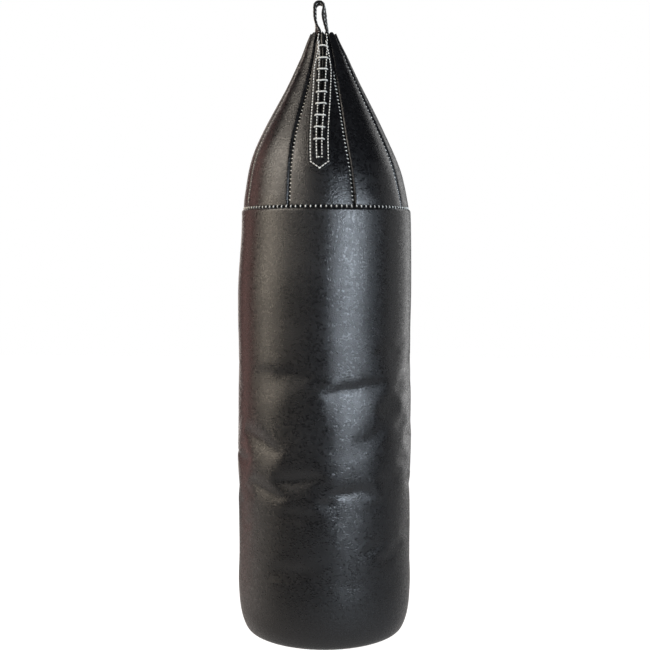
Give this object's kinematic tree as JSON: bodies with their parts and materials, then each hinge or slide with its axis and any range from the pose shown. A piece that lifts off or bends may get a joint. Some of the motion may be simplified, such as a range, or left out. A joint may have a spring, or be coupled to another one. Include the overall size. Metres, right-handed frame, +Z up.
{
  "type": "hanging punching bag",
  "caption": "Hanging leather punching bag with a laced conical top and a doubled strap loop for a hook; swings sideways and twists on the strap.",
  "frame": {"origin": "the spot inside the hanging loop's arch where a hook carries the bag", "axes": "+Z up through the middle of the bag; -Y towards the laced front; +X to the right of someone who faces the lacing"},
  "size_m": [0.269, 0.269, 0.9995],
  "materials": {
    "black_leather": "semi-gloss pebble grain",
    "strap_leather": "satin, cut edges",
    "tongue_leather": "glossy",
    "lace_cord": "braided white cord",
    "canvas": "plain woven canvas",
    "packed_rags": "shredded textile",
    "felt": "pressed felt",
    "ring_steel": "welded bright wire"
  },
  "bodies": {
    "hanger": {"loop_outer_ply": "strap_leather", "loop_inner_ply": "strap_leather"},
    "strap_legs": {"left_leg_outer_ply": "strap_leather", "left_leg_inner_ply": "strap_leather", "right_leg_outer_ply": "strap_leather", "right_leg_inner_ply": "strap_leather"},
    "bag": {"left_strap_end": "strap_leather", "right_strap_end": "strap_leather", "neck_ring": "ring_steel", "front_petal": "black_leather", "petal_2": "black_leather", "petal_3": "black_leather", "petal_4": "black_leather", "petal_5": "black_leather", "petal_6": "black_leather", "petal_7": "black_leather", "petal_8": "black_leather", "lacing_placket": "black_leather", "lace_tongue": "tongue_leather", "lace": "lace_cord", "body_panel": "black_leather", "back_seam_tape": "strap_leather", "canvas_lining": "canvas", "body_filling": "packed_rags", "neck_filling": "packed_rags", "base_disc": "black_leather", "base_welt": "strap_leather", "base_pad": "felt"}
  },
  "joints": [
    {"name": "strap_twist", "type": "hinge", "parent": "hanger", "child": "strap_legs", "pos_m": [0, 0, -0.026], "axis": [0, 0, 1], "range_deg": [-60, 60], "stiffness_Nm_per_rad": 0.28, "deforming": ["left_leg_outer_ply", "left_leg_inner_ply", "right_leg_outer_ply", "right_leg_inner_ply"]},
    {"name": "side_swing", "type": "hinge", "parent": "strap_legs", "child": "bag", "pos_m": [0, 0, -0.0447], "axis": [0, 1, 0], "range_deg": [-40, 40], "deforming": ["left_leg_outer_ply", "left_leg_inner_ply", "right_leg_outer_ply", "right_leg_inner_ply"]}
  ]
}
